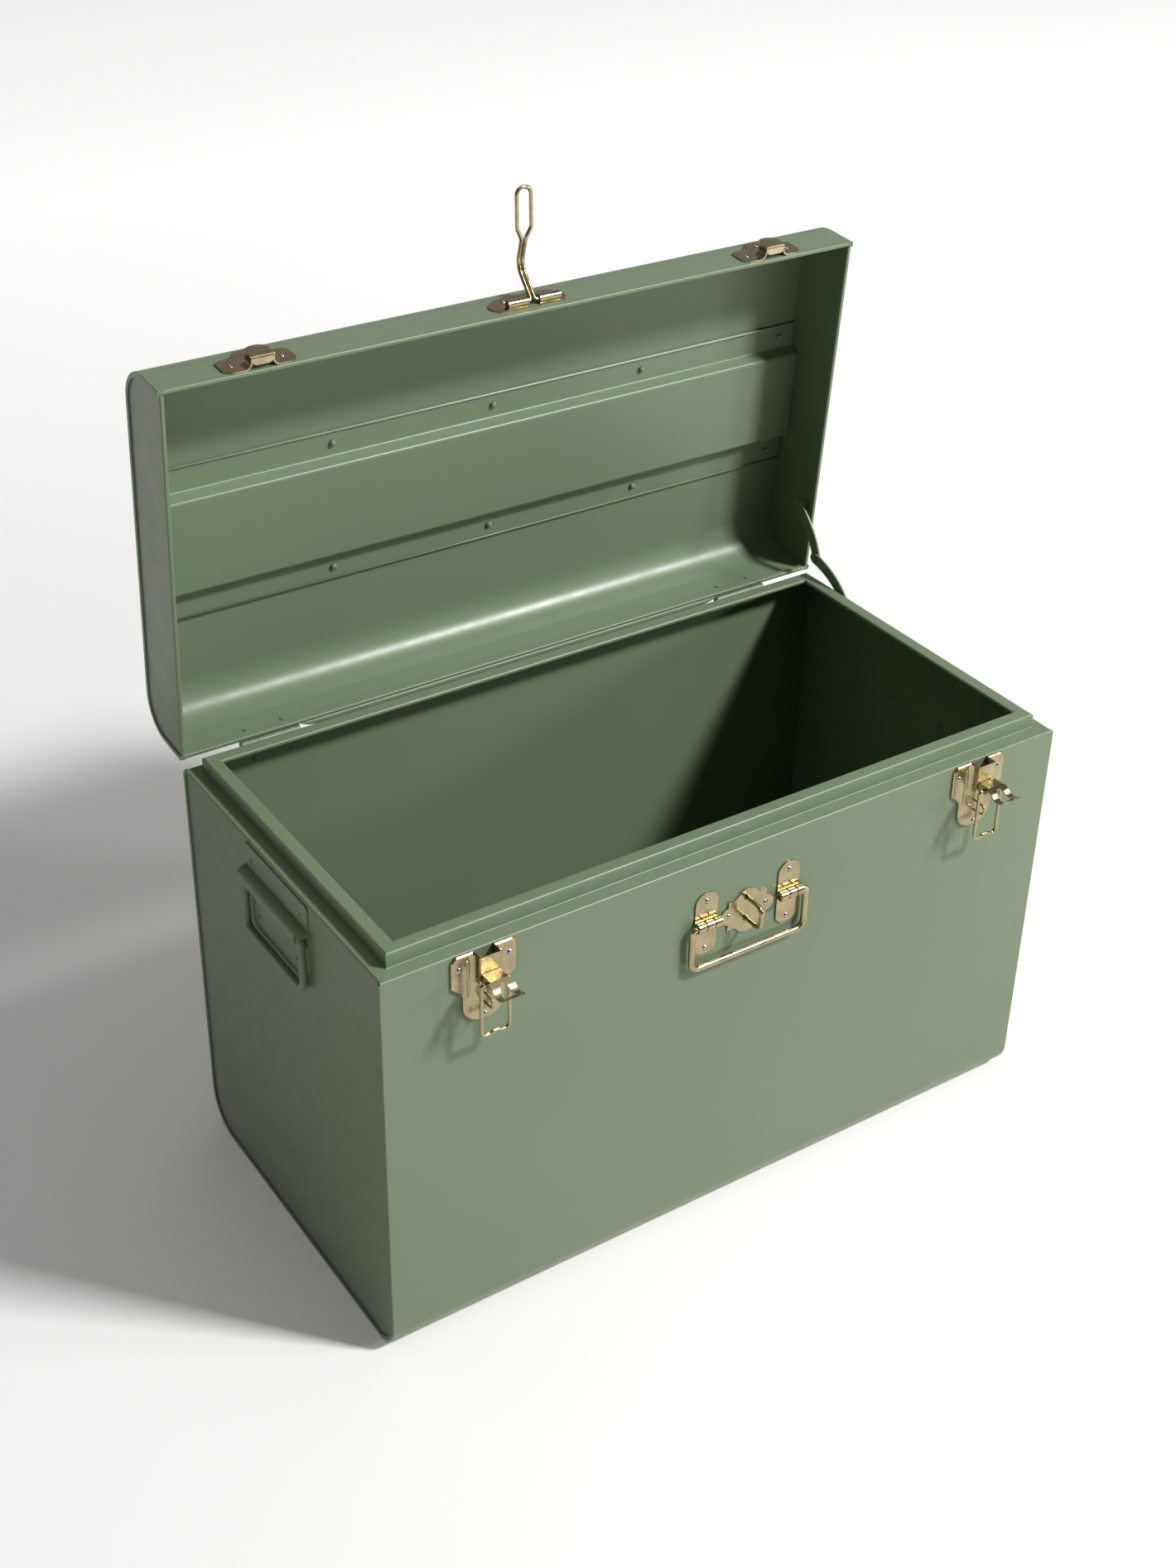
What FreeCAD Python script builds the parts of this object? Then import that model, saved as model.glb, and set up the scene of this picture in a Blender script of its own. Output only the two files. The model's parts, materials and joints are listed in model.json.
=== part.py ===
import FreeCAD, Part
import math
import os

V = FreeCAD.Vector

# A sheet-steel footlocker, in millimetres.  X runs along the length, Y from front to back, Z up.
# The origin is on the floor under the middle of the body.  The lid stands open against its stay.

# ---- Driving dimensions: body ----
LENGTH = 610.0
DEPTH = 310.0
LEDGE_Z = 348.0            # height of the ledge that the closed lid rests on
SHEET = 1.0                # sheet thickness of body and lid
FRONT_ROUND = 24.0         # outer radius of the front bottom edge
REAR_ROUND = 34.0          # outer radius of the rear bottom edge
LEDGE_WIDTH = 12.5
RIM_HEIGHT = 12.0
RIM_WIDTH = 11.5
REAR_LEDGE_WIDTH = 9.6     # the ledge is narrower along the back
REAR_RIM_WIDTH = 11.4
RIM_LIP = 2.8              # turned-down inner edge of the rim
FOLD = 1.8                 # outer radius of the sharp folds
SEAM_WIDTH = 3.8           # crimped seam round an end panel
SEAM_DEPTH = 1.2

# ---- Driving dimensions: lid, in its closed place ----
LID_HEIGHT = 59.0
LID_ROUND = 30.0
LID_GAP = 0.5              # between the ledge and the closed lid
HEM_WIDTH = 3.5
HEM_HEIGHT = 4.5
STIFFENER_SHIFT = 3.0      # the stiffener sits this far behind the middle
STIFFENER_WEB = 39.0       # half width of the hat's web
STIFFENER_FLANK = 44.0     # half width where the flanks meet the flanges
STIFFENER_FLANGE = 65.0    # half width over the flanges
STIFFENER_DEPTH = 9.0
STIFFENER_PITCH = 143.0    # between its rivets
STIFFENER_ROW = 54.5       # from its middle line to a row of rivets

# ---- Driving dimensions: hinges and stay ----
HINGE_OFFSET = 4.6         # hinge axis behind the rear wall
HINGE_RISE = 1.8           # hinge axis above the ledge
OPEN_ANGLE = 85.7          # lid opening at the stop of the stay
HINGE_X = 228.5
HINGE_WIDTH = 50.0
KNUCKLE_RADIUS = 4.0
HINGE_PIN_RADIUS = 1.6
END_KNUCKLE = 13.3
LEAF = 1.2
LEAF_REACH = 20.0
HINGE_RIVET_HEIGHT = 11.0  # rivet row above or below the axis
RUNNING_FIT = 0.05         # radial clearance of a turning pin
STAY_LENGTH = 49.0         # between pivots of each stay link
STAY_HALF_WIDTH = 5.0
STAY_THICKNESS = 1.5
STAY_BOW = 4.0             # rise of each link's curve
STAY_PIN_RADIUS = 2.0
STAY_BODY_Y = 95.0         # lower pivot, on the rim's right-hand riser
STAY_BODY_Z = 353.5
STAY_LID_RISE = 9.5        # upper pivot above the lower one when closed
LOWER_LINK_X = 293.7
UPPER_LINK_X = 295.6

# ---- Driving dimensions: front and end hardware ----
LATCH_X = 225.0
LATCH_TOP_Z = 347.3
LATCH_FOOT_Z = 286.5
DISH = 2.2                 # raised height of a stamped plate
HOOD_HALF_WIDTH = 8.6
HOOD_DEPTH = 10.6
HOOD_FOOT_Z = 333.0
EAR_FOOT_Z = 324.0
ROOT_RADIUS = 4.4          # sweep between the plate and the hood's side walls
STAMPING = 1.0             # thickness of the latch's stamped sheet
LEVER_OUT = 6.6            # lever pivot in front of the front wall
LEVER_Z = 329.0
LEVER_HALF_WIDTH = 7.2
LEVER_PIN_RADIUS = 1.2
BAIL_ARM = 9.9             # from the lever pivot to the bail pivot
BAIL_REACH = 44.0
BAIL_HALF_WIDTH = 11.2
BAIL_WIRE = 1.4
KEEPER_WIRE = 0.9
CATCH_HALF_WIDTH = 9.2     # half width of its hook
CATCH_HOOK_OUT = 10.6      # the hook stands this far in front of the lid
PLATE = 1.2                # thickness of flat brass plates
CENTRE_X = 2.5             # the staple, hasp and front handle sit this far off the middle
STAPLE_Z = 291.5
STAPLE_HALF_PITCH = 9.5
STAPLE_REACH = 18.5
STAPLE_WIRE = 1.8
HASP_RISE = 10.5           # hasp pivot above the lid's open edge
HASP_OUT = 3.8
HASP_WIRE = 1.6
HASP_REACH = 83.5
HASP_EYE_HALF_WIDTH = 6.2
HASP_REST_TILT = 13.0      # how far the raised hasp leans back from square to the lid's front
LUG_X = 38.0
LUG_HALF_WIDTH = 10.0
LUG_TOP_Z = 320.0
LUG_FOOT_Z = 265.0
HANDLE_Z = 293.3
HANDLE_OUT = 4.8
HANDLE_WIRE = 2.5
HANDLE_HALF_WIDTH = 52.5
HANDLE_DROP = 37.0
LUG_KNUCKLE = 4.2
GRIP_Z = 316.0             # side handles
GRIP_OUT = 4.6
GRIP_WIRE = 3.0
GRIP_HALF_WIDTH = 45.5
GRIP_DROP = 45.0
GRIP_ROLL = 7.6
GRIP_ROLL_HALF_LENGTH = 50.0
GRIP_SLOT_Y = 41.8         # outside this the roll is cut away for the wire's legs
GRIP_SLOT_TOP_Z = 319.4
RIVET_HEAD = 2.3
RIVET_SHANK = 1.4

# ---- Derived places ----
HALF_L = LENGTH / 2
HALF_D = DEPTH / 2
FRONT = -HALF_D
RIM_Z = LEDGE_Z + RIM_HEIGHT
RISER_X = HALF_L - LEDGE_WIDTH
PANEL_X = HALF_L - SEAM_DEPTH          # outer face of the end panels
EDGE_Z = LEDGE_Z + LID_GAP             # open edge of the closed lid
LID_TOP_Z = EDGE_Z + LID_HEIGHT
HINGE_Y = HALF_D + HINGE_OFFSET
HINGE_Z = LEDGE_Z + HINGE_RISE
HASP_Z = EDGE_Z + HASP_RISE


# ---- Shape helpers ----
def rounded_path(points, radii, closed=False):
    """Wire through the points, with an arc of the given radius at each corner."""
    count = len(points)
    edges = []
    last_end = None
    first_start = None
    for index in range(count):
        here = points[index]
        radius = radii[index]
        is_end = not closed and index in (0, count - 1)
        if is_end or radius == 0:
            start = end = here
        else:
            back = (points[index - 1] - here).normalize()
            ahead = (points[(index + 1) % count] - here).normalize()
            half = back.getAngle(ahead) / 2
            cut = radius / math.tan(half)
            start = here + back * cut
            end = here + ahead * cut
            middle = here + (back + ahead).normalize() * (radius / math.sin(half) - radius)
        if last_end is None:
            first_start = start
        elif (start - last_end).Length > 1e-6:
            edges.append(Part.LineSegment(last_end, start).toShape())
        if (end - start).Length > 1e-6:
            edges.append(Part.Arc(start, middle, end).toShape())
        last_end = end
    if closed and (first_start - last_end).Length > 1e-6:
        edges.append(Part.LineSegment(last_end, first_start).toShape())
    return Part.Wire(edges)


def tube(points, radii, wire_radius, closed=False):
    """Round wire bent along a path."""
    path = rounded_path(points, radii, closed)
    first = path.Edges[0]
    start = first.valueAt(first.FirstParameter)
    tangent = first.tangentAt(first.FirstParameter)
    profile = Part.Wire([Part.makeCircle(wire_radius, start, tangent)])
    return path.makePipeShell([profile], True, True)


def rod(radius, start, end):
    """Cylinder from one point to another."""
    return Part.makeCylinder(radius, (end - start).Length, start, end - start)


def block(x_range, y_range, z_range):
    """Box between two limits on each axis."""
    size = [high - low for low, high in (x_range, y_range, z_range)]
    return Part.makeBox(size[0], size[1], size[2], V(x_range[0], y_range[0], z_range[0]))


def polygon_face(points, radii):
    return Part.Face(rounded_path(points, radii, closed=True))


def front_plate(outline, radii, out_from, out_to):
    """Plate on the front wall: outline in (x, z), thickness measured outward from the wall."""
    points = [V(x, FRONT - out_from, z) for x, z in outline]
    return polygon_face(points, radii).extrude(V(0, out_from - out_to, 0))


def slab_x(outline, radii, x_from, x_to):
    """Plate square to X: outline in (y, z)."""
    points = [V(x_from, y, z) for y, z in outline]
    return polygon_face(points, radii).extrude(V(x_to - x_from, 0, 0))


def shifted_line(points, distance):
    """The (y, z) polyline moved sideways by a distance, to its left when positive."""
    moved = []
    for index, (y, z) in enumerate(points):
        normals = []
        for a, b in ((index - 1, index), (index, index + 1)):
            if a >= 0 and b < len(points):
                run_y = points[b][0] - points[a][0]
                run_z = points[b][1] - points[a][1]
                length = math.hypot(run_y, run_z)
                normals.append((-run_z / length, run_y / length))
        if len(normals) == 1:
            normals = normals * 2
        (ny1, nz1), (ny2, nz2) = normals
        scale = distance / (1 + ny1 * ny2 + nz1 * nz2)
        moved.append((y + (ny1 + ny2) * scale, z + (nz1 + nz2) * scale))
    return moved


def at_x0(y, z):
    return V(0, y, z)


def bent_face(points, radii, thickness, place=at_x0):
    """Section of a bent sheet, in the YZ plane unless placed otherwise.  The points give one
    face of the sheet, and its thickness lies to the left of that line when positive."""
    inner_points = shifted_line(points, thickness)
    inner_radii = []
    for index, radius in enumerate(radii):
        if index in (0, len(points) - 1):
            inner_radii.append(0)
            continue
        (y0, z0), (y1, z1), (y2, z2) = points[index - 1:index + 2]
        turns_left = (y1 - y0) * (z2 - z1) - (z1 - z0) * (y2 - y1) > 0
        grows = turns_left != (thickness > 0)
        change = abs(thickness) if grows else -abs(thickness)
        inner_radii.append(max(radius + change, 0.05))
    outline = [place(*point) for point in points + inner_points[::-1]]
    return polygon_face(outline, list(radii) + inner_radii[::-1])


def bent_sheet(points, radii, thickness, x_from, x_to):
    """Bent sheet running along X."""
    face = bent_face(points, radii, thickness)
    face.translate(V(x_from, 0, 0))
    return face.extrude(V(x_to - x_from, 0, 0))


def turned_to_end(shape):
    """Turns a sheet that runs along X, drawn for the front, so that it runs along Y."""
    turned = shape.copy()
    turned.rotate(V(0, 0, 0), V(0, 0, 1), -90)
    return turned


def mirrored(shape, normal):
    return shape.mirror(V(0, 0, 0), normal)


def mitre_prism(z_from, z_to, rear_shift=0.0):
    """Plan triangle that belongs to the left end, up to 45-degree lines from its two corners.
    The rear line moves back where the sheets meeting there have unequal ledges."""
    corner = V(-HALF_L, -HALF_D, z_from)
    tip = V(-HALF_L + HALF_D + rear_shift / 2, rear_shift / 2, z_from)
    far = V(-HALF_L, HALF_D + rear_shift, z_from)
    return Part.Face(Part.makePolygon([corner, tip, far, corner])).extrude(V(0, 0, z_to - z_from))


def rivet(place, outward, grip, head=RIVET_HEAD):
    """Domed rivet: its head on the outer face, its shank through the grip and an upset tail."""
    dome_height = head * 0.5
    ball_radius = (head ** 2 + dome_height ** 2) / (2 * dome_height)
    centre = place - outward * (ball_radius - dome_height)
    dome = Part.makeSphere(ball_radius, centre)
    cap = dome.common(Part.makeCylinder(head, dome_height, place, outward))
    shank = Part.makeCylinder(RIVET_SHANK, grip + 0.6, place, outward * -1)
    tail = Part.makeCylinder(head * 0.85, 0.8, place - outward * grip, outward * -1)
    return cap.fuse([shank, tail]).removeSplitter()


def rivet_hole(place, outward):
    """Through hole for a rivet's shank."""
    start = place + outward * 3
    return Part.makeCylinder(RIVET_SHANK, 8, start, outward * -1)


def cut_all(shape, tools):
    return shape.cut(Part.makeCompound(tools)) if tools else shape


def opened(shape):
    """Turns a lid piece from its closed place to its open place."""
    turned = shape.copy()
    turned.rotate(V(0, HINGE_Y, HINGE_Z), V(1, 0, 0), -OPEN_ANGLE)
    return turned


def save(name, shape):
    shape.exportStep("parts/" + name + ".step")


OUT_FRONT = V(0, -1, 0)
OUT_REAR = V(0, 1, 0)
OUT_TOP = V(0, 0, 1)


# ---- Rivet places ----
def latch_rivet_places(x):
    return [V(x + dx, FRONT - DISH, z) for dx, z in ((-20, 336), (20, 336), (0, 291))]


def lug_rivet_places(x):
    return [V(x, FRONT - PLATE, z) for z in (312.5, 270.0)]


def staple_rivet_places():
    return [V(CENTRE_X + dx, FRONT - PLATE, 290) for dx in (-17, 17)]


def catch_rivet_places(x):
    heights = ((-20, 12.5), (20, 12.5), (0, 26.5))
    return [V(x + dx, FRONT - PLATE, EDGE_Z + rise) for dx, rise in heights]


def hasp_rivet_places():
    return [V(CENTRE_X + dx, FRONT - PLATE, EDGE_Z + 22) for dx in (-19, 19)]


def hinge_rivet_places(x, rise):
    return [V(x + dx, HALF_D + LEAF, HINGE_Z + rise) for dx in (-16, 16)]


def grip_rivet_places(side):
    places = ((-39, 332), (39, 332), (-30, 287), (30, 287))
    return [V(side * (PANEL_X + PLATE), y, z) for y, z in places]


def stiffener_rivet_places():
    rows = (STIFFENER_SHIFT - STIFFENER_ROW, STIFFENER_SHIFT + STIFFENER_ROW)
    return [V(step * STIFFENER_PITCH, y, LID_TOP_Z) for y in rows for step in (-2, -1, 0, 1, 2)]


BODY_FRONT_RIVETS = (latch_rivet_places(-LATCH_X) + latch_rivet_places(LATCH_X)
                     + lug_rivet_places(CENTRE_X - LUG_X) + lug_rivet_places(CENTRE_X + LUG_X)
                     + staple_rivet_places())
CATCH_RIVETS = catch_rivet_places(-LATCH_X) + catch_rivet_places(LATCH_X)
LID_FRONT_RIVETS = CATCH_RIVETS + hasp_rivet_places()
BODY_HINGE_RIVETS = [p for x in (-HINGE_X, HINGE_X)
                     for p in hinge_rivet_places(x, -HINGE_RIVET_HEIGHT)]
LID_HINGE_RIVETS = [p for x in (-HINGE_X, HINGE_X)
                    for p in hinge_rivet_places(x, HINGE_RIVET_HEIGHT)]


# ---- Body sheets ----
def seam_band(outline, radii, inner_outline, inner_radii, open_from_z, opens_up):
    """Crimped seam on the left end: a flat band just inside the outline of the section."""
    band = slab_x(outline, radii, -HALF_L, -PANEL_X)
    edge_radius = 0.7
    rim = [e for e in band.Edges if all(abs(v.Point.x + HALF_L) < 1e-6 for v in e.Vertexes)]
    band = band.makeFillet(edge_radius, rim)
    core = slab_x(inner_outline, inner_radii, -HALF_L - 1, -PANEL_X + 1)
    z_range = (open_from_z, open_from_z + 50) if opens_up else (open_from_z - 50, open_from_z)
    mouth = block((-HALF_L - 1, -PANEL_X + 1), (-HALF_D - 1, HALF_D + 1), z_range)
    return band.cut(core).cut(mouth)


def body_outline(inset, top_z):
    """Body section, inset from its outer faces, as (y, z) points and corner radii."""
    points = [(-HALF_D + inset, top_z), (-HALF_D + inset, inset),
              (HALF_D - inset, inset), (HALF_D - inset, top_z)]
    return points, [0, FRONT_ROUND - inset, REAR_ROUND - inset, 0]


def rim_points(wall_y, ledge_width=LEDGE_WIDTH, rim_width=RIM_WIDTH):
    """Ledge, riser, rim top and turned-down lip of a front wall, from the lip outward."""
    return [(wall_y + ledge_width + rim_width, RIM_Z - RIM_LIP),
            (wall_y + ledge_width + rim_width, RIM_Z),
            (wall_y + ledge_width, RIM_Z),
            (wall_y + ledge_width, LEDGE_Z),
            (wall_y, LEDGE_Z)]


RIM_RADII = [0, FOLD, FOLD, 1.0, FOLD]


def body_wrap():
    """One sheet forms the front, the bottom, the back and the rim along front and back."""
    front_rim = rim_points(-HALF_D)
    rear_rim = rim_points(-HALF_D, REAR_LEDGE_WIDTH, REAR_RIM_WIDTH)
    rear_rim = [(-y, z) for y, z in reversed(rear_rim)]
    points = front_rim + [(-HALF_D, 0), (HALF_D, 0)] + rear_rim
    radii = RIM_RADII + [FRONT_ROUND, REAR_ROUND] + RIM_RADII[::-1]
    sheet = bent_sheet(points, radii, SHEET, -PANEL_X, PANEL_X)
    left_end = mitre_prism(LEDGE_Z - FOLD, RIM_Z + 1, LEDGE_WIDTH - REAR_LEDGE_WIDTH)
    sheet = sheet.cut(left_end).cut(mirrored(left_end, V(1, 0, 0)))
    outer, outer_radii = body_outline(0, LEDGE_Z + 10)
    inner, inner_radii = body_outline(SEAM_WIDTH, LEDGE_Z + 11)
    seam = seam_band(outer, outer_radii, inner, inner_radii, LEDGE_Z - FOLD, True)
    sheet = sheet.fuse([seam, mirrored(seam, V(1, 0, 0))]).removeSplitter()
    holes = [rivet_hole(p, OUT_FRONT) for p in BODY_FRONT_RIVETS]
    holes += [rivet_hole(p, OUT_REAR) for p in BODY_HINGE_RIVETS]
    return cut_all(sheet, holes)


def left_end_panel():
    """End sheet with its own ledge and rim, mitred to the front and the back."""
    face_points, face_radii = body_outline(SHEET, LEDGE_Z - FOLD)
    face = slab_x(face_points, face_radii, -PANEL_X, -PANEL_X + SHEET)
    wall = [(-PANEL_X, LEDGE_Z - FOLD - 1)]
    top = rim_points(-HALF_L)[:-1] + [(-PANEL_X, LEDGE_Z)] + wall
    rim = bent_sheet(top, RIM_RADII + [0], SHEET, -HALF_D, HALF_D)
    rim = turned_to_end(rim)
    rim = rim.common(mitre_prism(LEDGE_Z - FOLD, RIM_Z + 1, LEDGE_WIDTH - REAR_LEDGE_WIDTH))
    panel = face.fuse(rim).removeSplitter()
    holes = [rivet_hole(p, V(-1, 0, 0)) for p in grip_rivet_places(-1)]
    return cut_all(panel, holes)


# ---- Lid sheets ----
def lid_outline(inset, foot_z):
    points = [(-HALF_D + inset, foot_z), (-HALF_D + inset, LID_TOP_Z - inset),
              (HALF_D - inset, LID_TOP_Z - inset), (HALF_D - inset, foot_z)]
    return points, [0, LID_ROUND - inset, LID_ROUND - inset, 0]


def lid_wrap():
    """One sheet forms the front, top and back of the lid, with a turned-in hem."""
    hem = [(-HALF_D + HEM_WIDTH, EDGE_Z + HEM_HEIGHT), (-HALF_D + HEM_WIDTH, EDGE_Z),
           (-HALF_D, EDGE_Z)]
    points = hem + [(-HALF_D, LID_TOP_Z), (HALF_D, LID_TOP_Z)]
    points += [(-y, z) for y, z in reversed(hem)]
    radii = [0, 1.2, 1.2, LID_ROUND, LID_ROUND, 1.2, 1.2, 0]
    sheet = bent_sheet(points, radii, -SHEET, -PANEL_X, PANEL_X)
    hem_top = EDGE_Z + HEM_HEIGHT + 0.1
    inner_hem = mitre_prism(EDGE_Z - 1, hem_top)
    sheet = sheet.cut(inner_hem).cut(mirrored(inner_hem, V(1, 0, 0)))
    wall_end = lid_wall_ends(hem_top)
    sheet = sheet.fuse([wall_end, mirrored(wall_end, V(1, 0, 0))])
    outer, outer_radii = lid_outline(0, EDGE_Z - 10)
    inner, inner_radii = lid_outline(SEAM_WIDTH, EDGE_Z - 11)
    seam = seam_band(outer, outer_radii, inner, inner_radii, EDGE_Z, False)
    sheet = sheet.fuse([seam, mirrored(seam, V(1, 0, 0))]).removeSplitter()
    holes = [rivet_hole(p, OUT_FRONT) for p in LID_FRONT_RIVETS]
    holes += [rivet_hole(p, OUT_REAR) for p in LID_HINGE_RIVETS]
    holes += [rivet_hole(p, OUT_TOP) for p in stiffener_rivet_places()]
    return cut_all(sheet, holes)


def lid_wall_ends(hem_top):
    """Outer skin of the two left corners, which the mitre of the hem leaves in place."""
    low_x = (-PANEL_X, -PANEL_X + HEM_WIDTH)
    front = block(low_x, (-HALF_D, -HALF_D + SHEET), (EDGE_Z, hem_top))
    rear = block(low_x, (HALF_D - SHEET, HALF_D), (EDGE_Z, hem_top))
    return front.fuse(rear)


def left_lid_end():
    """End sheet of the lid with its own turned-in hem."""
    face_points, face_radii = lid_outline(SHEET, EDGE_Z + 2)
    face = slab_x(face_points, face_radii, -PANEL_X, -PANEL_X + SHEET)
    inner_x = -HALF_L + HEM_WIDTH + SEAM_DEPTH
    hem = [(inner_x, EDGE_Z + HEM_HEIGHT), (inner_x, EDGE_Z), (-PANEL_X, EDGE_Z),
           (-PANEL_X, EDGE_Z + 3)]
    fold = turned_to_end(bent_sheet(hem, [0, 1.2, 1.2, 0], -SHEET, -HALF_D, HALF_D))
    fold = fold.common(mitre_prism(EDGE_Z - 1, EDGE_Z + HEM_HEIGHT + 1))
    inside = block((-HALF_L, 0), (-HALF_D + SHEET, HALF_D - SHEET), (EDGE_Z - 1, EDGE_Z + 10))
    panel = face.fuse(fold.common(inside)).removeSplitter()
    return panel


def stiffener():
    """Hat-section rail riveted along the inside of the lid's top."""
    flange_z = LID_TOP_Z - 2 * SHEET
    web_z = flange_z - STIFFENER_DEPTH
    half = [(STIFFENER_WEB, web_z), (STIFFENER_FLANK, flange_z), (STIFFENER_FLANGE, flange_z)]
    left = [(STIFFENER_SHIFT - y, z) for y, z in reversed(half)]
    right = [(STIFFENER_SHIFT + y, z) for y, z in half]
    radii = [0, 2.0, 3.0, 3.0, 2.0, 0]
    end_x = PANEL_X - SHEET - 1.0
    rail = bent_sheet(left + right, radii, SHEET, -end_x, end_x)
    return cut_all(rail, [rivet_hole(p, OUT_TOP) for p in stiffener_rivet_places()])


# ---- Hinges ----
def hinge_leaf(x, rises):
    """Half of a butt hinge outside the rear walls; the lid's half rises, the body's hangs."""
    half = HINGE_WIDTH / 2
    inner = half - END_KNUCKLE
    if rises:
        spans = [(-inner + 0.3, inner - 0.3)]
        z_range = (HINGE_Z, HINGE_Z + LEAF_REACH)
        bore = HINGE_PIN_RADIUS + RUNNING_FIT
    else:
        spans = [(-half, -inner), (inner, half)]
        z_range = (HINGE_Z - LEAF_REACH, HINGE_Z)
        bore = HINGE_PIN_RADIUS
    leaf = block((x - half, x + half), (HALF_D, HALF_D + LEAF), z_range)
    room = Part.makeCylinder(KNUCKLE_RADIUS + 0.6, HINGE_WIDTH + 2,
                             V(x - half - 1, HINGE_Y, HINGE_Z), V(1, 0, 0))
    leaf = leaf.cut(room)
    for low, high in spans:
        start = V(x + low, HINGE_Y, HINGE_Z)
        end = V(x + high, HINGE_Y, HINGE_Z)
        neck_z = (z_range[0], HINGE_Z) if not rises else (HINGE_Z, z_range[1])
        neck = block((x + low, x + high), (HALF_D + 0.6, HALF_D + LEAF), neck_z)
        leaf = leaf.fuse([rod(KNUCKLE_RADIUS, start, end), neck])
    bore_rod = rod(bore, V(x - half - 1, HINGE_Y, HINGE_Z), V(x + half + 1, HINGE_Y, HINGE_Z))
    leaf = leaf.cut(bore_rod).removeSplitter()
    rise = HINGE_RIVET_HEIGHT if rises else -HINGE_RIVET_HEIGHT
    return cut_all(leaf, [rivet_hole(p, OUT_REAR) for p in hinge_rivet_places(x, rise)])


def hinge_pin(x):
    half = HINGE_WIDTH / 2
    return rod(HINGE_PIN_RADIUS, V(x - half, HINGE_Y, HINGE_Z), V(x + half, HINGE_Y, HINGE_Z))


# ---- Lid stay ----
def bowed_link(start, end, x_from, x_to):
    """Flat link between two pivots given as (y, z), bowed to the left of its run."""
    chord = math.dist(start, end)
    along = ((end[0] - start[0]) / chord, (end[1] - start[1]) / chord)
    left = (-along[1], along[0])
    radius = (chord ** 2 / 4 + STAY_BOW ** 2) / (2 * STAY_BOW)
    middle = [(start[i] + end[i]) / 2 for i in (0, 1)]
    centre = [middle[i] + left[i] * (STAY_BOW - radius) for i in (0, 1)]

    def on_ray(pivot, distance):
        ray = [(pivot[i] - centre[i]) / radius for i in (0, 1)]
        return V(x_from, centre[0] + ray[0] * distance, centre[1] + ray[1] * distance)

    top = [middle[i] + left[i] * STAY_BOW for i in (0, 1)]
    outer_r = radius + STAY_HALF_WIDTH
    inner_r = radius - STAY_HALF_WIDTH
    start_tip = V(x_from, start[0] - along[0] * STAY_HALF_WIDTH, start[1] - along[1] * STAY_HALF_WIDTH)
    end_tip = V(x_from, end[0] + along[0] * STAY_HALF_WIDTH, end[1] + along[1] * STAY_HALF_WIDTH)
    edges = [Part.Arc(on_ray(start, outer_r), on_ray(top, outer_r), on_ray(end, outer_r)),
             Part.Arc(on_ray(end, outer_r), end_tip, on_ray(end, inner_r)),
             Part.Arc(on_ray(end, inner_r), on_ray(top, inner_r), on_ray(start, inner_r)),
             Part.Arc(on_ray(start, inner_r), start_tip, on_ray(start, outer_r))]
    face = Part.Face(Part.Wire([edge.toShape() for edge in edges]))
    return face.extrude(V(x_to - x_from, 0, 0))


def turned_about_hinge(y, z):
    """Where a (y, z) point of the closed lid is when the lid is open."""
    angle = math.radians(OPEN_ANGLE)
    dy = y - HINGE_Y
    dz = z - HINGE_Z
    return (HINGE_Y + dy * math.cos(angle) + dz * math.sin(angle),
            HINGE_Z - dy * math.sin(angle) + dz * math.cos(angle))


def stay_pivots():
    """Open places of the stay's body, middle and lid pivots, as (y, z)."""
    body = (STAY_BODY_Y, STAY_BODY_Z)
    lid = turned_about_hinge(STAY_BODY_Y, STAY_BODY_Z + STAY_LID_RISE)
    span = math.dist(body, lid)
    along = ((lid[0] - body[0]) / span, (lid[1] - body[1]) / span)
    sag = math.sqrt(STAY_LENGTH ** 2 - span ** 2 / 4)
    knee = ((body[0] + lid[0]) / 2 + along[1] * sag, (body[1] + lid[1]) / 2 - along[0] * sag)
    return body, knee, lid


def stay_pieces():
    """Two bowed links, the two fixed rivets they turn on and the two halves of the knee rivet."""
    body, knee, lid = stay_pivots()
    lower_end = LOWER_LINK_X + STAY_THICKNESS
    upper_end = UPPER_LINK_X + STAY_THICKNESS
    pin_hole = STAY_PIN_RADIUS + RUNNING_FIT
    lower = bowed_link(body, knee, LOWER_LINK_X, lower_end)
    lower = lower.cut(rod(pin_hole, V(LOWER_LINK_X - 1, *body), V(lower_end + 1, *body)))
    upper = bowed_link(knee, lid, UPPER_LINK_X, upper_end)
    upper = upper.cut(rod(pin_hole, V(UPPER_LINK_X - 1, *lid), V(upper_end + 1, *lid)))
    body_rivet = rod(STAY_PIN_RADIUS, V(RISER_X, *body), V(lower_end + 0.1, *body))
    body_rivet = body_rivet.fuse(rod(3.2, V(lower_end + 0.1, *body), V(lower_end + 0.8, *body)))
    body_rivet = body_rivet.fuse(rod(3.4, V(RISER_X, *body), V(LOWER_LINK_X - 0.3, *body)))
    wall_x = PANEL_X - SHEET
    lid_rivet = rod(STAY_PIN_RADIUS, V(UPPER_LINK_X - 0.1, *lid), V(wall_x, *lid))
    lid_rivet = lid_rivet.fuse(rod(3.2, V(UPPER_LINK_X - 0.7, *lid), V(UPPER_LINK_X - 0.1, *lid)))
    lid_rivet = lid_rivet.fuse(rod(4.0, V(upper_end + 0.3, *lid), V(wall_x, *lid)))
    knee_lower = rod(3.2, V(LOWER_LINK_X - 0.8, *knee), V(LOWER_LINK_X, *knee))
    knee_upper = rod(3.2, V(upper_end, *knee), V(upper_end + 0.8, *knee))
    return {"stay_lower_link": lower, "stay_upper_link": upper,
            "stay_body_rivet": body_rivet.removeSplitter(),
            "stay_lid_rivet": lid_rivet.removeSplitter(),
            "stay_knee_rivet_inner": knee_lower, "stay_knee_rivet_outer": knee_upper}


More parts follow.
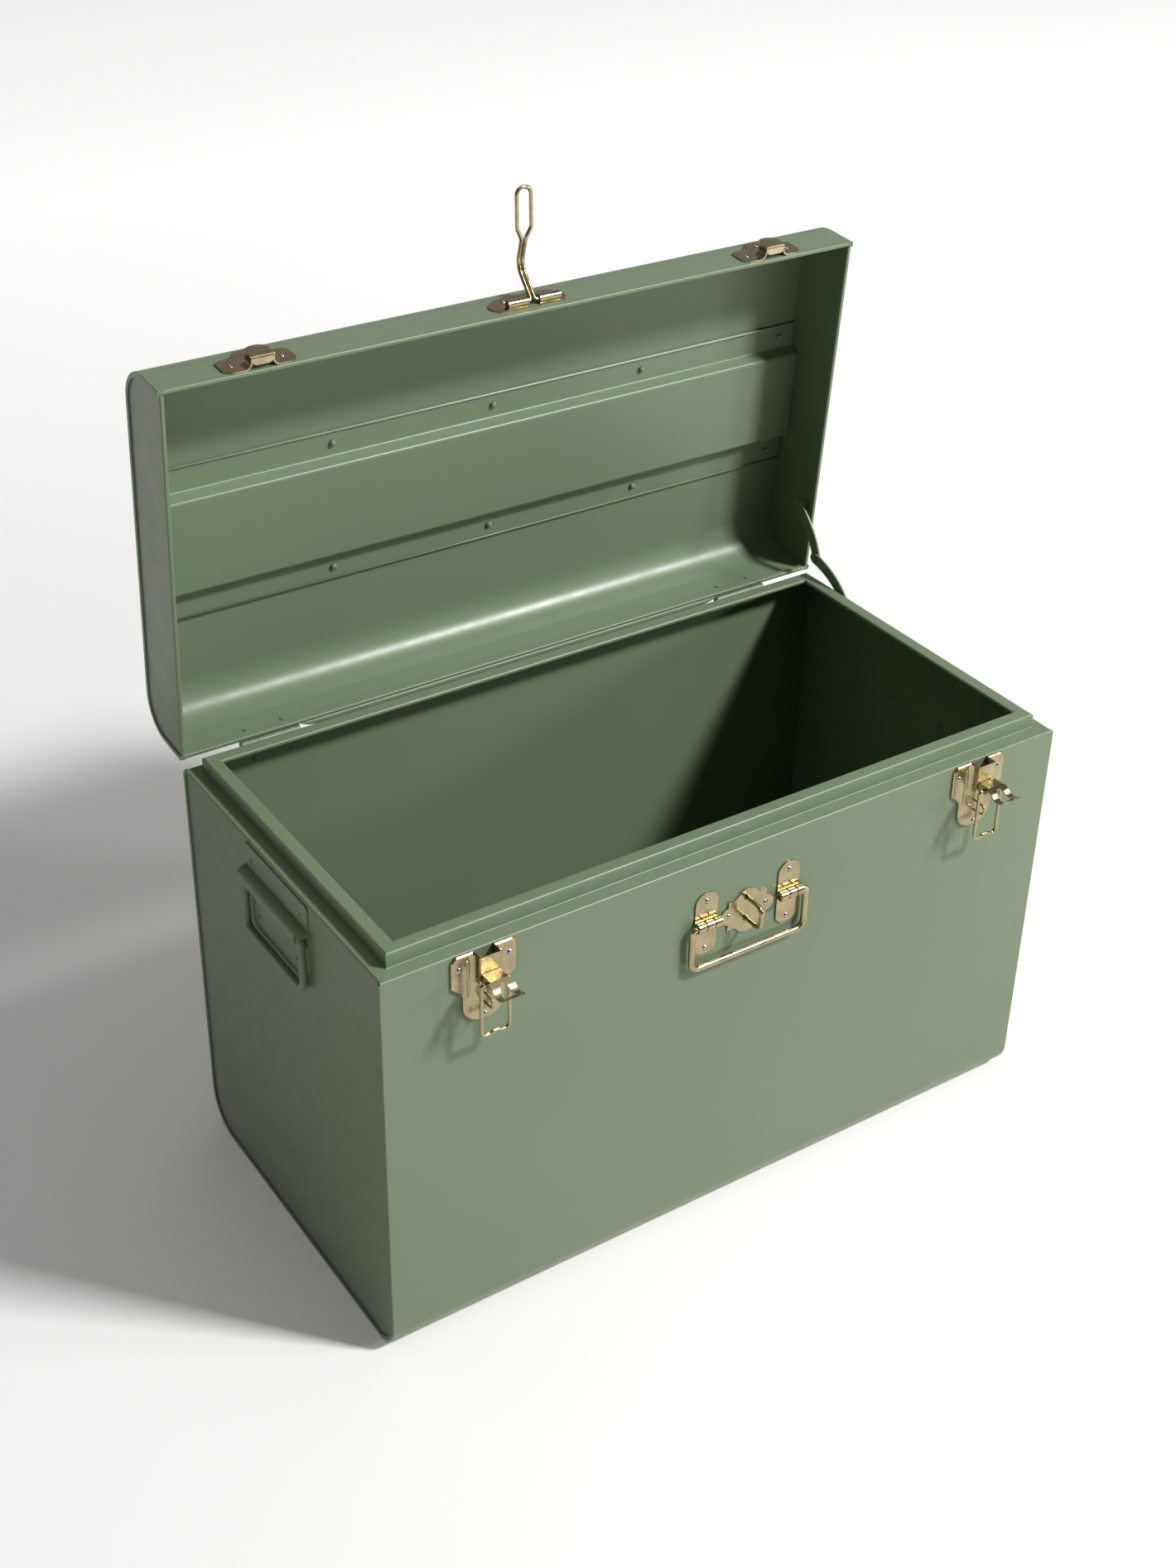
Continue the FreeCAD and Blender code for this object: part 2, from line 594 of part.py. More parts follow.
# ---- Draw latches ----
def both_sides(points):
    """Completes an outline from its right half, given from the top middle down."""
    return points + [(-x, z) for x, z in reversed(points)]


def latch_plate(x):
    """Dished plate with two ears at the top, a hood for the lever and a keeper loop."""
    hood_inside = HOOD_HALF_WIDTH - STAMPING
    right = [(hood_inside, 338.0), (hood_inside, LATCH_TOP_Z), (23.0, LATCH_TOP_Z),
             (26.0, 343.5), (26.0, 321.0), (17.0, 313.0), (16.5, LATCH_FOOT_Z)]
    right_radii = [0, 0, 3.0, 3.0, 4.0, 7.0, 15.5]
    outline = [(x + dx, z) for dx, z in both_sides(right)]
    radii = right_radii + right_radii[::-1]
    plate = front_plate(outline, radii, 0, DISH)
    face_y = FRONT - DISH
    rim = [e for e in plate.Edges if all(abs(v.Point.y - face_y) < 1e-6 for v in e.Vertexes)]
    plate = plate.makeChamfer(0.9, rim)
    walls = []
    for side in (-1, 1):
        low, high = sorted((x + side * hood_inside, x + side * HOOD_HALF_WIDTH))
        walls.append(block((low, high), (FRONT - HOOD_DEPTH + 0.5, FRONT), (EAR_FOOT_Z, LATCH_TOP_Z)))
        walls.append(hood_root(x, side))
        bead_x = x + side * (HOOD_HALF_WIDTH + ROOT_RADIUS)
        walls.append(rod(1.0, V(bead_x, face_y, 311), V(bead_x, face_y, LATCH_TOP_Z - 6)))
    face = block((x - HOOD_HALF_WIDTH, x + HOOD_HALF_WIDTH),
                 (FRONT - HOOD_DEPTH, FRONT - HOOD_DEPTH + STAMPING), (HOOD_FOOT_Z, LATCH_TOP_Z))
    front_y = FRONT - HOOD_DEPTH
    long_edges = [e for e in face.Edges if abs(e.Vertexes[0].Point.z - e.Vertexes[1].Point.z) > 1
                  and abs(e.Vertexes[0].Point.y - front_y) < 1e-6]
    walls.append(face.makeFillet(STAMPING * 0.9, long_edges))
    plate = plate.fuse(walls)
    plate = plate.cut(rod(LEVER_PIN_RADIUS, *lever_pin_ends(x)))
    loop_points = [V(x, FRONT - 1.0, 310), V(x, FRONT - 12.5, 309.4), V(x, FRONT - 12.5, 301.8),
                   V(x, FRONT - 1.0, 301.2)]
    loop = tube(loop_points, [0, 3.2, 3.2, 0], KEEPER_WIRE)
    plate = plate.fuse(loop).removeSplitter()
    return cut_all(plate, [rivet_hole(p, OUT_FRONT) for p in latch_rivet_places(x)])


def hood_root(x, side):
    """Concave root where one side wall of the hood sweeps out of the plate."""
    inner = x + side * (HOOD_HALF_WIDTH - 0.5)
    centre = V(x + side * (HOOD_HALF_WIDTH + ROOT_RADIUS), FRONT - DISH - ROOT_RADIUS, EAR_FOOT_Z)
    low, high = sorted((inner, centre.x))
    root = block((low, high), (centre.y, FRONT - DISH + 0.5), (EAR_FOOT_Z, LATCH_TOP_Z - 0.9))
    return root.cut(Part.makeCylinder(ROOT_RADIUS, 40, centre, V(0, 0, 1)))


def lever_pin_ends(x):
    half = HOOD_HALF_WIDTH + 0.3
    return V(x - half, FRONT - LEVER_OUT, LEVER_Z), V(x + half, FRONT - LEVER_OUT, LEVER_Z)


def lever_section(points, radii, thickness, x_low, x_high):
    """Bent strip of the lever: points are (distance in front of the wall, z)."""
    world = [(FRONT - out, z) for out, z in points]
    return bent_sheet(world, radii, thickness, x_low, x_high)


def latch_lever(x):
    """Channel lever with a flared thumb tab, shown raised square to the front."""
    top_z = LEVER_Z + 4.6
    strip = [(11.0, top_z), (21.5, top_z), (26.5, 331.8), (31.5, 328.2), (35.5, 328.6), (39.5, 331.0)]
    body = lever_section(strip, [0, 3.0, 6.0, 5.0, 5.0, 0], STAMPING, x - 9.0, x + 9.0)
    waist = 22.0
    for side in (-1, 1):
        low, high = sorted((x + side * LEVER_HALF_WIDTH, x + side * 12))
        body = body.cut(block((low, high), (FRONT - waist, FRONT), (LEVER_Z - 10, LEVER_Z + 10)))
    opening = [(x - 1.9, FRONT - 24.2), (x + 1.9, FRONT - 24.2),
               (x + 5.6, FRONT - 36.0), (x - 5.6, FRONT - 36.0)]
    points = [V(a, b, LEVER_Z - 10) for a, b in opening]
    window = polygon_face(points, [1.8, 1.8, 1.6, 1.6]).extrude(V(0, 0, 20))
    body = body.cut(window)
    cheek_half = 2.9
    pin_y = FRONT - LEVER_OUT
    bail_y = pin_y - BAIL_ARM
    cheek_low, cheek_high = LEVER_Z - cheek_half, LEVER_Z + cheek_half
    outline = [(pin_y + cheek_half, cheek_low), (pin_y + cheek_half, cheek_high),
               (bail_y - cheek_half, cheek_high), (bail_y - cheek_half, cheek_low)]
    for side in (-1, 1):
        low, high = sorted((x + side * LEVER_HALF_WIDTH, x + side * (LEVER_HALF_WIDTH - STAMPING)))
        cheek = slab_x(outline, [cheek_half - 0.05] * 4, low, high)
        web = block((low, high), (FRONT - 21.0, FRONT - 11.0), (LEVER_Z, top_z - STAMPING / 2))
        body = body.fuse([cheek, web])
    pin_hole = LEVER_PIN_RADIUS + RUNNING_FIT
    body = body.cut(rod(pin_hole, V(x - 12, pin_y, LEVER_Z), V(x + 12, pin_y, LEVER_Z)))
    bail_hole = BAIL_WIRE + RUNNING_FIT
    body = body.cut(rod(bail_hole, V(x - 12, bail_y, LEVER_Z), V(x + 12, bail_y, LEVER_Z)))
    return body.removeSplitter()


def latch_bail(x):
    """Wire loop hung in the lever's cheeks, its foot dipped to seat on the catch."""
    y = FRONT - LEVER_OUT - BAIL_ARM
    foot = LEVER_Z - BAIL_REACH
    half = [(5.4, LEVER_Z), (BAIL_HALF_WIDTH, LEVER_Z), (BAIL_HALF_WIDTH, foot),
            (4.6, foot), (2.6, foot + 1.4)]
    half_radii = [0, 2.0, 4.0, 2.0, 2.0]
    points = [V(x + dx, y, z) for dx, z in half] + [V(x - dx, y, z) for dx, z in reversed(half)]
    return tube(points, half_radii + half_radii[::-1], BAIL_WIRE)


def lid_catch(x):
    """Plate whose raised middle carries a round-ended hook for the latch's wire loop."""
    right = [(0, 33.0), (9, 31.5), (14, 24.5), (24, 23.5), (28.5, 20.5), (28.5, 6.0), (23, 1.5)]
    outline = [(x + dx, EDGE_Z + rise) for dx, rise in right]
    outline += [(x - dx, EDGE_Z + rise) for dx, rise in reversed(right[1:])]
    half_radii = [4, 4, 2, 3, 4, 3]
    plate = front_plate(outline, [5] + half_radii + half_radii[::-1], 0, PLATE)
    foot_z = EDGE_Z + 1.5
    seat_z = EDGE_Z + 11.4
    root_x = 15.5
    plate = plate.cut(block((x - root_x, x + root_x), (FRONT - PLATE, FRONT), (foot_z - 1, seat_z)))
    plate = plate.fuse([catch_arch(x, root_x, foot_z, seat_z), catch_hook(x)]).removeSplitter()
    return cut_all(plate, [rivet_hole(p, OUT_FRONT) for p in catch_rivet_places(x)])


def catch_arch(x, root_x, foot_z, seat_z):
    """Hat-shaped middle of the catch; the wire loop sits on its upper edges."""
    half = [(root_x, PLATE), (CATCH_HALF_WIDTH, PLATE), (CATCH_HALF_WIDTH, CATCH_HOOK_OUT)]
    section = [(-dx, out) for dx, out in half] + half[::-1]
    radii = [0, 4.5, 1.6, 1.6, 4.5, 0]

    def at_foot(dx, out):
        return V(x + dx, FRONT - out, foot_z)

    return bent_face(section, radii, -PLATE, at_foot).extrude(V(0, 0, seat_z - foot_z))


def catch_hook(x):
    """Tongue over the arch: round-ended above, with a round-cornered lip bent back below."""
    tip_z = EDGE_Z + 18.0
    line = [(FRONT - CATCH_HOOK_OUT, tip_z), (FRONT - CATCH_HOOK_OUT, EDGE_Z + 1.3),
            (FRONT - 3.6, EDGE_Z + 0.9)]
    low, high = x - CATCH_HALF_WIDTH, x + CATCH_HALF_WIDTH
    tongue = bent_sheet(line, [0, 2.6, 0], PLATE, low, high)
    from_front = polygon_face([V(low, FRONT - 20, EDGE_Z - 1), V(high, FRONT - 20, EDGE_Z - 1),
                               V(high, FRONT - 20, tip_z), V(low, FRONT - 20, tip_z)], [0, 0, 8.2, 8.2])
    from_below = polygon_face([V(low, FRONT - 12, EDGE_Z - 1), V(high, FRONT - 12, EDGE_Z - 1),
                               V(high, FRONT - 3.6, EDGE_Z - 1), V(low, FRONT - 3.6, EDGE_Z - 1)],
                              [0, 0, 5.0, 5.0])
    tongue = tongue.common(from_front.extrude(V(0, 20, 0)))
    return tongue.common(from_below.extrude(V(0, 0, 30)))


# ---- Hasp and staple ----
def hasp_plate():
    """Plate with two curled knuckles on the lid's front wall; its left end is the longer."""
    right = [(25, 25.5), (31, 19.0), (31, 12.0), (27, 7.0)]
    left = [(-30, 7.0), (-34.5, 12.0), (-34.5, 18.5), (-27, 25.5)]
    outline = [(CENTRE_X + dx, EDGE_Z + rise) for dx, rise in [(16, 28.5)] + right + left + [(-16, 28.5)]]
    plate = front_plate(outline, [4, 4, 5, 4, 2, 2, 4, 5, 4, 4], 0, PLATE)
    axis_y = FRONT - HASP_OUT
    knuckles = [rod(3.3, V(CENTRE_X + low, axis_y, HASP_Z), V(CENTRE_X + high, axis_y, HASP_Z))
                for low, high in ((-22.5, -5.0), (5.0, 23.5))]
    mouth = block((CENTRE_X - 5, CENTRE_X + 5), (FRONT - 9, FRONT + 1), (EDGE_Z + 6, HASP_Z + 5.5))
    bore_ends = V(CENTRE_X - 24, axis_y, HASP_Z), V(CENTRE_X + 24, axis_y, HASP_Z)
    plate = plate.fuse(knuckles).cut(mouth).cut(rod(HASP_WIRE + RUNNING_FIT, *bore_ends))
    return cut_all(plate.removeSplitter(), [rivet_hole(p, OUT_FRONT) for p in hasp_rivet_places()])


def hasp():
    """One bent wire: two turned-out ends, an S-bent shank and a long eye.
    It is drawn along its run (s) and its rise (n) square to the run, then set leaning back."""
    half = [(21.5, 0, 0), (1.7, 0, 0), (1.7, 24.0, 15.5), (1.7, 44.5, 6.5),
            (HASP_EYE_HALF_WIDTH, 53.0, 4.2), (HASP_EYE_HALF_WIDTH, HASP_REACH, 0.5)]
    half_radii = [0, 2.2, 15.0, 9.0, 5.0, HASP_EYE_HALF_WIDTH - 0.2]
    run = half + [(-x, s, n) for x, s, n in reversed(half)]
    points = [V(CENTRE_X + x, FRONT - HASP_OUT - s, HASP_Z + n) for x, s, n in run]
    wire = tube(points, half_radii + half_radii[::-1], HASP_WIRE)
    wire.rotate(V(0, FRONT - HASP_OUT, HASP_Z), V(1, 0, 0), -HASP_REST_TILT)
    return wire


def staple_plate():
    """Ornamental plate with horns, lobes and two blunt side tips."""
    quarter = [(24.5, 2.4), (21.2, 6.2), (17.4, 7.8), (17.8, 13.2), (12.0, 12.4),
               (8.8, 14.6), (5.6, 18.4)]
    radii = [1.0, 1.5, 1.0, 0.6, 2.0, 4.0, 3.0]
    centre_z = 290.0
    upper = [(0, 20.0)] + [(x, z) for x, z in reversed(quarter)]
    right = upper + [(x, -z) for x, z in quarter] + [(0, -20.0)]
    right_radii = [3.0] + radii[::-1] + radii + [3.0]
    outline = right + [(-x, z) for x, z in reversed(right[1:-1])]
    outline_radii = right_radii + right_radii[1:-1][::-1]
    plate = front_plate([(CENTRE_X + x, centre_z + z) for x, z in outline], outline_radii, 0, PLATE)
    heights = (STAPLE_Z - STAPLE_HALF_PITCH, STAPLE_Z + STAPLE_HALF_PITCH)
    legs = [rod(STAPLE_WIRE, V(CENTRE_X, FRONT + SHEET, z), V(CENTRE_X, FRONT - 3, z)) for z in heights]
    holes = [rivet_hole(p, OUT_FRONT) for p in staple_rivet_places()]
    return cut_all(plate, holes + legs)


def staple():
    """Wire staple with a collar on each leg."""
    outer = FRONT - STAPLE_REACH
    top = STAPLE_Z + STAPLE_HALF_PITCH
    foot = STAPLE_Z - STAPLE_HALF_PITCH
    corners = ((FRONT, top), (outer, top), (outer, foot), (FRONT, foot))
    wire = tube([V(CENTRE_X, y, z) for y, z in corners], [0, 6.5, 6.5, 0], STAPLE_WIRE)
    face_y = FRONT - PLATE
    collars = [rod(2.8, V(CENTRE_X, face_y, z), V(CENTRE_X, face_y - 1.4, z)) for z in (top, foot)]
    return wire.fuse(collars).removeSplitter()


# ---- Front handle ----
def handle_lug(x):
    """Plate with rounded ends and a banded knuckle across its middle."""
    outline = [(x - LUG_HALF_WIDTH, LUG_FOOT_Z), (x + LUG_HALF_WIDTH, LUG_FOOT_Z),
               (x + LUG_HALF_WIDTH, LUG_TOP_Z), (x - LUG_HALF_WIDTH, LUG_TOP_Z)]
    plate = front_plate(outline, [7.5, 7.5, 9.9, 9.9], 0, PLATE)
    y = FRONT - HANDLE_OUT
    core_radius = LUG_KNUCKLE - 0.8
    plate = plate.fuse(rod(core_radius, V(x - 11, y, HANDLE_Z), V(x + 11, y, HANDLE_Z)))
    foot = block((x - 10, x + 10), (y, FRONT), (HANDLE_Z - 2.8, HANDLE_Z + 2.8))
    bands = []
    for low, high in ((-11, -4.4), (-3.4, 3.4), (4.4, 11)):
        band = rod(LUG_KNUCKLE, V(x + low, y, HANDLE_Z), V(x + high, y, HANDLE_Z))
        bands.append(band.makeFillet(0.7, [e for e in band.Edges if e.Closed]))
    plate = plate.fuse(bands + [foot])
    plate = plate.cut(rod(HANDLE_WIRE + RUNNING_FIT, V(x - 12, y, HANDLE_Z), V(x + 12, y, HANDLE_Z)))
    return cut_all(plate.removeSplitter(), [rivet_hole(p, OUT_FRONT) for p in lug_rivet_places(x)])


def front_handle():
    """Round-wire bail whose turned-in ends sit in the lugs."""
    y = FRONT - HANDLE_OUT
    end_x = LUG_X - 10
    foot = HANDLE_Z - HANDLE_DROP
    half = [(end_x, HANDLE_Z), (HANDLE_HALF_WIDTH, HANDLE_Z), (HANDLE_HALF_WIDTH, foot)]
    points = [V(CENTRE_X + x, y, z) for x, z in half]
    points += [V(CENTRE_X - x, y, z) for x, z in reversed(half)]
    return tube(points, [0, 3.2, 7.0, 7.0, 3.2, 0], HANDLE_WIRE)


# ---- Side handles ----
def left_grip_plate():
    """Pressed plate with a half-round roll that holds the side handle's wire."""
    right = [(50, 344.5), (50, 322), (38, 310), (38, 277)]
    outline = both_sides(right)
    radii = [4, 3, 6, 5]
    plate = slab_x(outline, radii + radii[::-1], -PANEL_X, -PANEL_X - PLATE)
    centre_x = -PANEL_X - PLATE
    roll = Part.makeCylinder(GRIP_ROLL, 2 * GRIP_ROLL_HALF_LENGTH,
                             V(centre_x, -GRIP_ROLL_HALF_LENGTH, GRIP_Z), V(0, 1, 0))
    outside = block((-HALF_L - 40, -PANEL_X), (-60, 60), (280, 350))
    slots = [block((-HALF_L - 40, centre_x), y_range, (280, GRIP_SLOT_TOP_Z))
             for y_range in ((-60, -GRIP_SLOT_Y), (GRIP_SLOT_Y, 60))]
    plate = plate.fuse(cut_all(roll.common(outside), slots))
    wire_x = -PANEL_X - GRIP_OUT
    plate = plate.cut(rod(GRIP_WIRE + RUNNING_FIT, V(wire_x, -60, GRIP_Z), V(wire_x, 60, GRIP_Z)))
    holes = [rivet_hole(p, V(-1, 0, 0)) for p in grip_rivet_places(-1)]
    return cut_all(plate.removeSplitter(), holes)


def left_grip():
    """Closed wire rectangle that hangs from the roll."""
    x = -PANEL_X - GRIP_OUT
    foot = GRIP_Z - GRIP_DROP
    corners = [V(x, 0, GRIP_Z), V(x, GRIP_HALF_WIDTH, GRIP_Z), V(x, GRIP_HALF_WIDTH, foot),
               V(x, -GRIP_HALF_WIDTH, foot), V(x, -GRIP_HALF_WIDTH, GRIP_Z), V(x, 0, GRIP_Z)]
    half = tube(corners[:3] + [V(x, 0, foot)], [0, 3.4, 7.0, 0], GRIP_WIRE)
    return half.fuse(mirrored(half, V(0, 1, 0))).removeSplitter()


# ---- Assembly ----
def rivet_group(places, outward, grip):
    return Part.makeCompound([rivet(p, outward, grip) for p in places])


def main():
    os.makedirs("parts", exist_ok=True)
    nodes = {"body_wrap": body_wrap(), "lid_wrap": opened(lid_wrap()),
             "lid_stiffener": opened(stiffener()), "staple_plate": staple_plate(),
             "staple": staple(), "front_handle": front_handle(),
             "hasp_plate": opened(hasp_plate()), "hasp": opened(hasp())}
    nodes.update(stay_pieces())
    left_pieces = {"end_panel": left_end_panel(), "side_handle_plate": left_grip_plate(),
                   "side_handle": left_grip(), "lid_end": opened(left_lid_end())}
    for name, shape in left_pieces.items():
        nodes["left_" + name] = shape
        nodes["right_" + name] = mirrored(shape, V(1, 0, 0))
    for side, sign in (("left", -1), ("right", 1)):
        x = sign * LATCH_X
        nodes[side + "_latch_plate"] = latch_plate(x)
        nodes[side + "_latch_pin"] = rod(LEVER_PIN_RADIUS, *lever_pin_ends(x))
        nodes[side + "_latch_lever"] = latch_lever(x)
        nodes[side + "_latch_bail"] = latch_bail(x)
        nodes[side + "_catch"] = opened(lid_catch(x))
        nodes[side + "_handle_lug"] = handle_lug(CENTRE_X + sign * LUG_X)
        nodes[side + "_hinge_body_leaf"] = hinge_leaf(sign * HINGE_X, False)
        nodes[side + "_hinge_lid_leaf"] = opened(hinge_leaf(sign * HINGE_X, True))
        nodes[side + "_hinge_pin"] = hinge_pin(sign * HINGE_X)
        grip_rivets = grip_rivet_places(sign)
        nodes[side + "_side_handle_rivets"] = rivet_group(grip_rivets, V(sign, 0, 0), PLATE + SHEET)
    latch_rivets = latch_rivet_places(-LATCH_X) + latch_rivet_places(LATCH_X)
    nodes["latch_rivets"] = rivet_group(latch_rivets, OUT_FRONT, DISH + SHEET)
    lug_rivets = lug_rivet_places(CENTRE_X - LUG_X) + lug_rivet_places(CENTRE_X + LUG_X)
    nodes["front_handle_rivets"] = rivet_group(lug_rivets, OUT_FRONT, PLATE + SHEET)
    nodes["staple_rivets"] = rivet_group(staple_rivet_places(), OUT_FRONT, PLATE + SHEET)
    nodes["body_hinge_rivets"] = rivet_group(BODY_HINGE_RIVETS, OUT_REAR, LEAF + SHEET)
    nodes["lid_hinge_rivets"] = opened(rivet_group(LID_HINGE_RIVETS, OUT_REAR, LEAF + SHEET))
    nodes["catch_rivets"] = opened(rivet_group(CATCH_RIVETS, OUT_FRONT, PLATE + SHEET))
    nodes["hasp_rivets"] = opened(rivet_group(hasp_rivet_places(), OUT_FRONT, PLATE + SHEET))
    stiffener_rivets = rivet_group(stiffener_rivet_places(), OUT_TOP, 2 * SHEET)
    nodes["stiffener_rivets"] = opened(stiffener_rivets)
    for name, shape in nodes.items():
        save(name, shape)


main()
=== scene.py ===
import json
import math

import bmesh
import bpy
from mathutils import Matrix, Vector


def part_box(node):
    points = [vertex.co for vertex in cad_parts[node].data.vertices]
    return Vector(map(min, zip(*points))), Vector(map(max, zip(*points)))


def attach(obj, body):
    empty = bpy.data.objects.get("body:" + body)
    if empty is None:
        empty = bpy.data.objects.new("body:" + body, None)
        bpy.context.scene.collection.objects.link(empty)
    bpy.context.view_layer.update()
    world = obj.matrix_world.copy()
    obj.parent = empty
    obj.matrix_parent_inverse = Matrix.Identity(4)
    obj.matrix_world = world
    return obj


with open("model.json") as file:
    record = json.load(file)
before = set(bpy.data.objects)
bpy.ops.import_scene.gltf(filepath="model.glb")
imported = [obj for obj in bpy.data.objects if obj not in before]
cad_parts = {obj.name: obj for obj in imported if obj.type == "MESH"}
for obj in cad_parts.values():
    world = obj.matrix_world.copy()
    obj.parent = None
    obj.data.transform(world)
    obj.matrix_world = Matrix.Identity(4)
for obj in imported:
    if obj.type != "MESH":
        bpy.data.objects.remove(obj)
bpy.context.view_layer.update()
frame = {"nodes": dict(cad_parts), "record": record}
NODES = frame["nodes"]
RECORD = frame["record"]
SLOT_OF = {part["node"]: part["material_slot"] for part in RECORD["subparts"]}

# ---------------------------------------------------------------- camera
CAMERA_PLACE = (-0.8158, -1.1478, 1.2293)
CAMERA_AZIMUTH, CAMERA_DOWN, CAMERA_ROLL = (math.radians(a) for a in (33.818, 31.297, 1.036))


def make_camera():
    look = Vector((math.sin(CAMERA_AZIMUTH) * math.cos(CAMERA_DOWN),
                   math.cos(CAMERA_AZIMUTH) * math.cos(CAMERA_DOWN), -math.sin(CAMERA_DOWN)))
    right = Vector((math.cos(CAMERA_AZIMUTH), -math.sin(CAMERA_AZIMUTH), 0))
    up = right.cross(look)
    side = math.cos(CAMERA_ROLL) * right + math.sin(CAMERA_ROLL) * up
    top = -math.sin(CAMERA_ROLL) * right + math.cos(CAMERA_ROLL) * up
    turn = Matrix((side, top, -look)).transposed().to_4x4()
    data = bpy.data.cameras.new("camera")
    data.sensor_width = 36
    data.lens = 48.94
    data.shift_x = 0.0064
    data.shift_y = -0.0406
    data.clip_start, data.clip_end = 0.05, 50
    camera = bpy.data.objects.new("camera", data)
    camera.matrix_world = Matrix.Translation(CAMERA_PLACE) @ turn
    bpy.context.collection.objects.link(camera)
    bpy.context.scene.camera = camera


# ---------------------------------------------------------------- materials
class Nodes:
    """Small helper for building a material's node tree."""

    def __init__(self, name):
        self.material = bpy.data.materials.new(name)
        self.material.use_nodes = True
        self.tree = self.material.node_tree
        self.shader = self.tree.nodes["Principled BSDF"]

    def add(self, kind, inputs=None, **settings):
        node = self.tree.nodes.new(kind)
        for key, value in settings.items():
            setattr(node, key, value)
        for key, value in (inputs or {}).items():
            if isinstance(value, bpy.types.NodeSocket):
                self.tree.links.new(value, node.inputs[key])
            else:
                node.inputs[key].default_value = value
        return node

    def link(self, out, socket):
        self.tree.links.new(out, self.shader.inputs[socket])

    def set(self, socket, value):
        self.shader.inputs[socket].default_value = value

    def place(self):
        return self.add("ShaderNodeTexCoord").outputs["Object"]

    def noise(self, scale, detail):
        node = self.add("ShaderNodeTexNoise", {"Vector": self.place(), "Scale": scale,
                                               "Detail": detail, "Roughness": 0.5})
        return node.outputs["Fac"]

    def blend(self, value, low, high):
        """Colour that goes from low to high over the middle of a noise's values."""
        node = self.add("ShaderNodeValToRGB", {"Fac": value})
        for element, (position, color) in zip(node.color_ramp.elements, ((0.3, low), (0.7, high))):
            element.position = position
            element.color = (*color, 1.0)
        return node.outputs["Color"]

    def span(self, value, low, high, from_low=0.3, from_high=0.7):
        node = self.add("ShaderNodeMapRange", {"Value": value, "From Min": from_low,
                                               "From Max": from_high, "To Min": low,
                                               "To Max": high})
        return node.outputs["Result"]

    def product(self, first, second):
        return self.add("ShaderNodeMath", {0: first, 1: second}, operation="MULTIPLY").outputs[0]

    def bump(self, height, strength, distance):
        return self.add("ShaderNodeBump", {"Height": height, "Strength": strength,
                                           "Distance": distance})


def paint_material(name, low, high):
    """Satin enamel with a faint orange peel over slow waves."""
    n = Nodes(name)
    n.link(n.blend(n.noise(3.0, 2.0), low, high), "Base Color")
    n.link(n.span(n.noise(60.0, 4.0), 0.32, 0.42), "Roughness")
    peel = n.bump(n.noise(900.0, 2.0), 0.10, 0.0003)
    wave = n.bump(n.noise(7.0, 1.0), 0.25, 0.004)
    n.tree.links.new(peel.outputs["Normal"], wave.inputs["Normal"])
    n.link(wave.outputs["Normal"], "Normal")
    n.set("Specular IOR Level", 0.2)
    n.set("Coat Weight", 0.3)
    n.set("Coat Roughness", 0.32)
    return n.material


def brass_material():
    n = Nodes("pale_brass")
    n.link(n.blend(n.noise(90.0, 4.0), (0.33, 0.272, 0.155), (0.45, 0.385, 0.236)), "Base Color")
    n.set("Metallic", 1.0)
    n.link(n.span(n.noise(250.0, 5.0), 0.16, 0.30), "Roughness")
    n.link(n.bump(n.noise(500.0, 3.0), 0.12, 0.0002).outputs["Normal"], "Normal")
    return n.material


def rivet_material():
    n = Nodes("rivet_steel")
    n.link(n.blend(n.noise(200.0, 4.0), (0.27, 0.27, 0.29), (0.42, 0.42, 0.44)), "Base Color")
    n.set("Metallic", 1.0)
    n.link(n.span(n.noise(400.0, 4.0), 0.14, 0.26), "Roughness")
    return n.material


PAINT = paint_material("sage_paint", (0.129, 0.174, 0.102), (0.144, 0.191, 0.114))
# Paler paint for the front stiffener bead: a painted highlight, not the paint's own tone.
PAINTED_HIGHLIGHT_PAINT = paint_material("sage_paint_painted_highlight", (0.30, 0.36, 0.27), (0.36, 0.42, 0.33))
MATERIALS = {"green_paint": PAINT, "brass": brass_material(), "rivet_steel": rivet_material()}


def dress(obj, material):
    obj.data.materials.clear()
    obj.data.materials.append(material)


def dress_frame():
    for name, obj in NODES.items():
        dress(obj, MATERIALS[SLOT_OF[name]])


def soften_edges():
    """Small rounded edges on the brass and three painted parts, which catch the light."""
    painted = ("lid_stiffener", "stay_lower_link", "stay_upper_link")
    for name, obj in NODES.items():
        if SLOT_OF[name] == "brass" or name in painted:
            bevel = obj.modifiers.new("edges", "BEVEL")
            bevel.width = 0.00025
            bevel.segments = 2
            bevel.limit_method = "ANGLE"
            bevel.angle_limit = math.radians(40)


# ---------------------------------------------------------------- own pieces
# They are drawn on the closed lid and then turned with it about the hinge axis.
LID_HINGE = next(j for j in RECORD["behaviour"]["joints"] if j["name"] == "lid_hinge")
HINGE_AXIS = Vector(LID_HINGE["pos_m"])
LID_TURN = Matrix.Rotation(-math.radians(LID_HINGE["range_deg"][1]), 4, "X")
TO_OPEN = Matrix.Translation(HINGE_AXIS) @ LID_TURN @ Matrix.Translation(-HINGE_AXIS)
LID_REAR_Y = HINGE_AXIS.y - 0.0046      # the closed lid's rear face
LID_EDGE_Z = HINGE_AXIS.z - 0.0013      # its open edge
FLANGE_FACE_Z = LID_EDGE_Z + 0.057      # the visible face of its stiffener's flanges
STIFFENER_Y = 0.003                     # the stiffener's middle line
RIVET_ROW = 0.0545                      # from that line to a row of rivets
RIVET_HEAD_WIDTH = 0.0046               # their box is this much longer than a row of centres
RIVET_TAIL = 0.0008                     # height of the flat tails that the domes sit on
RIVET_STEPS = range(-2, 3)              # rivets in a row, counted from the middle one
BEAD_ROW = 0.0646                       # from the middle line to a bead's centre
ROUND = [math.pi * step / 8 for step in range(16)]     # angles once round a circle


